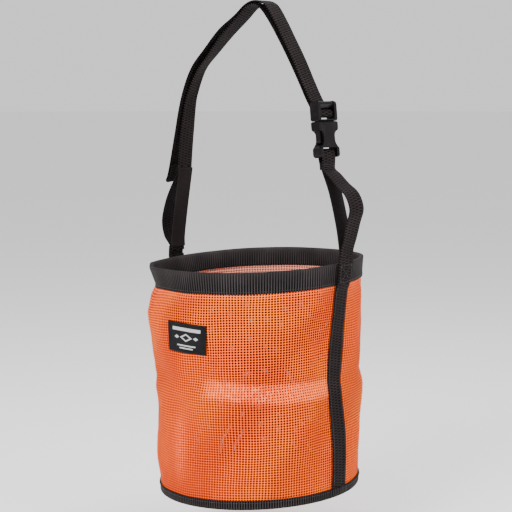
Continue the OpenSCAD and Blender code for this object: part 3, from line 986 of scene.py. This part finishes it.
lean_low = wall_r(RIM_Z) - wall_r(RIM_Z - BAND_H)
rim_seam_z = RIM_Z - BAND_H + SEAM_IN
base_seam_z = BASE_Z + BASE_BAND_H - 2.4 * MM
rim_seam_r = RIM_R - lean_low + 0.1 * MM
base_seam_r = wall_r(BASE_Z + BASE_BAND_H) + WEB_T + 0.1 * MM
bag_runs = [hoop(rim_seam_r, rim_seam_z, 6.5, 173.5), hoop(rim_seam_r, rim_seam_z, 186.5, 353.5),
            hoop(RIM_R - lean_low - 2 * WEB_T - MESH_T - 0.9 * MM, rim_seam_z, out=-1),
            hoop(base_seam_r, base_seam_z, 8.5, 171.5), hoop(base_seam_r, base_seam_z, 188.5, 351.5)]
for side in (1, -1):
    line = side_line(side)
    stop = int(np.argmax(line[:, 1] > RIM_Z - BAND_H - 3 * MM))
    begin = int(np.argmax(line[:, 1] > BASE_Z + BASE_BAND_H + 2 * MM))
    for v in (-WEB_W / 2 + STRAP_SEAM_IN, WEB_W / 2 - STRAP_SEAM_IN):
        points, out = on_line(line, v, -side * (WEB_T / 2 + 0.02 * MM), begin, stop)
        bag_runs.append((points, out, True))
    bag_runs += box_tack(side * (STUB_X - 0.3 * MM + WEB_T / 2), rim_seam_z, RIM_Z - 3 * MM,
                         WEB_W / 2 - SEAM_IN, side)
stitches("bag_threads", bag_runs, "bag")

# around the label
label_runs = []
half_h = label_size[1] / 2 - LABEL_SEAM_IN
half_a = (label_size[0] / 2 - LABEL_SEAM_IN) / wall_r(label_mid)
corners = [(-half_a, -half_h), (half_a, -half_h), (half_a, half_h), (-half_a, half_h), (-half_a, -half_h)]
for (a0, h0), (a1, h1) in zip(corners[:-1], corners[1:]):
    t = np.linspace(0, 1, 40)
    a, z = a0 + (a1 - a0) * t - math.pi / 2, label_mid + h0 + (h1 - h0) * t
    bulge = 0.5 * MM * np.cos((z - label_mid) / label_size[1] * math.pi)
    points = on_label(a, wall_r(z) + 0.95 * MM + bulge, z)
    label_runs.append((points, np.stack([np.cos(a), np.sin(a), 0 * a], 1), True))
stitches("label_threads", label_runs, "bag", pitch=2.4 * MM, thick=0.35 * MM)


def bar_tack(centre, direction, out, half, lift_by):
    """A row of stitches across a webbing that runs in the direction given."""
    d = np.array(direction) / np.linalg.norm(direction)
    n = np.array([-d[1], d[0]]) * out
    p = np.array(centre) + n * lift_by
    points = np.stack([np.full(8, p[0]), np.linspace(-half, half, 8), np.full(8, p[1])], 1)
    return points, np.tile([n[0], 0.0, n[1]], (8, 1)), False


TACK = {"pitch": 2.2 * MM, "thick": 0.45 * MM}
seam_dir = on_buckle(0, 1) - on_buckle(0, 0)
head_runs = [bar_tack(on_buckle(n, w), seam_dir, out, WEB_W / 2 - TACK_IN, WEB_T / 2)
             for out, n in ((-1, 1.75), (1, -1.75)) for w in (-12.5, -10.2, -7.9)]
far_dir = load_line[4] - load_line[0]
for k in range(4):
    centre = load_line[1] + (load_line[4] - load_line[1]) * k / 3
    head_runs.append(bar_tack(centre, far_dir, 1, WEB_W / 2 - TACK_IN, WEB_T / 2 + 0.05 * MM))
stitches("head_strap_threads", head_runs, "head_strap", **TACK)

tail_runs = []
for k in range(3):
    index = int(np.searchsorted(lengths(tail_line), (5 + 6.5 * k) * MM))
    direction = tail_line[index + 1] - tail_line[index - 1]
    tail_runs.append(bar_tack(tail_line[index], direction, 1, WEB_W / 2 - STRAP_SEAM_IN,
                              WEB_T / 2 + 0.15 * MM))
stitches("tail_threads", tail_runs, "loose_tail", **TACK)


# ---- Buckle ----

for node in ("buckle_female", "buckle_male", "prong_front", "prong_rear"):
    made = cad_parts[node]
    made.data.materials.clear()
    made.data.materials.append(plastic_look)


# ---- Studio ----

FLOOR_GAP = 70 * MM                      # under the hanging bag
FLOOR_R = 40
bpy.ops.mesh.primitive_circle_add(vertices=96, radius=FLOOR_R, fill_type="NGON",
                                  location=(0, 0, BASE_Z - FLOOR_GAP))
floor = bpy.context.object
floor.name = "floor"
floor_look = bpy.data.materials.new("pale_floor")
floor_look.use_nodes = True
paint = floor_look.node_tree.nodes["Principled BSDF"]
paint.inputs["Base Color"].default_value = (0.92, 0.92, 0.92, 1)
paint.inputs["Roughness"].default_value = 0.9
floor.data.materials.append(floor_look)

world = bpy.data.worlds.new("studio")
world.use_nodes = True
sky = world.node_tree.nodes["Background"]
sky.inputs["Color"].default_value = (1.0, 1.0, 1.0, 1)
sky.inputs["Strength"].default_value = 1.0
bpy.context.scene.world = world

AZIMUTH = math.radians(39)
RIGHT = Vector((math.cos(AZIMUTH), math.sin(AZIMUTH), 0))
TOWARDS = Vector((math.sin(AZIMUTH), -math.cos(AZIMUTH), 0))
MIDDLE = Vector((0, 0, -0.35))           # where the lamps aim


def lamp(name, place, size, power):
    """A square lamp at a place beside MIDDLE."""
    data = bpy.data.lights.new(name, "AREA")
    data.size = size
    data.energy = power
    made = bpy.data.objects.new(name, data)
    made.location = MIDDLE + place
    made.rotation_euler = (MIDDLE - made.location).to_track_quat("-Z", "Y").to_euler()
    bpy.context.scene.collection.objects.link(made)


lamp("key", TOWARDS * 1.6 - RIGHT * 1.1 + Vector((0, 0, 0.8)), 1.0, 66)
lamp("fill", TOWARDS * 1.0 + RIGHT * 1.7 + Vector((0, 0, 0.2)), 1.4, 38)
lamp("top", Vector((0.1, 0.4, 1.5)), 1.2, 25)

CAMERA_AWAY, CAMERA_UP = 1.75, 200 * MM  # from the bag's axis, and above the rim
camera_data = bpy.data.cameras.new("camera")
camera_data.sensor_width = 36
camera_data.lens = 102.66
camera_data.shift_x = -0.00414
camera = bpy.data.objects.new("camera", camera_data)
camera.location = TOWARDS * CAMERA_AWAY + Vector((0, 0, RIM_Z + CAMERA_UP))
aim = Vector((0, 0, RIM_Z + 3.55 * MM))
camera.rotation_euler = (aim - camera.location).to_track_quat("-Z", "Y").to_euler()
bpy.context.scene.collection.objects.link(camera)
bpy.context.scene.camera = camera
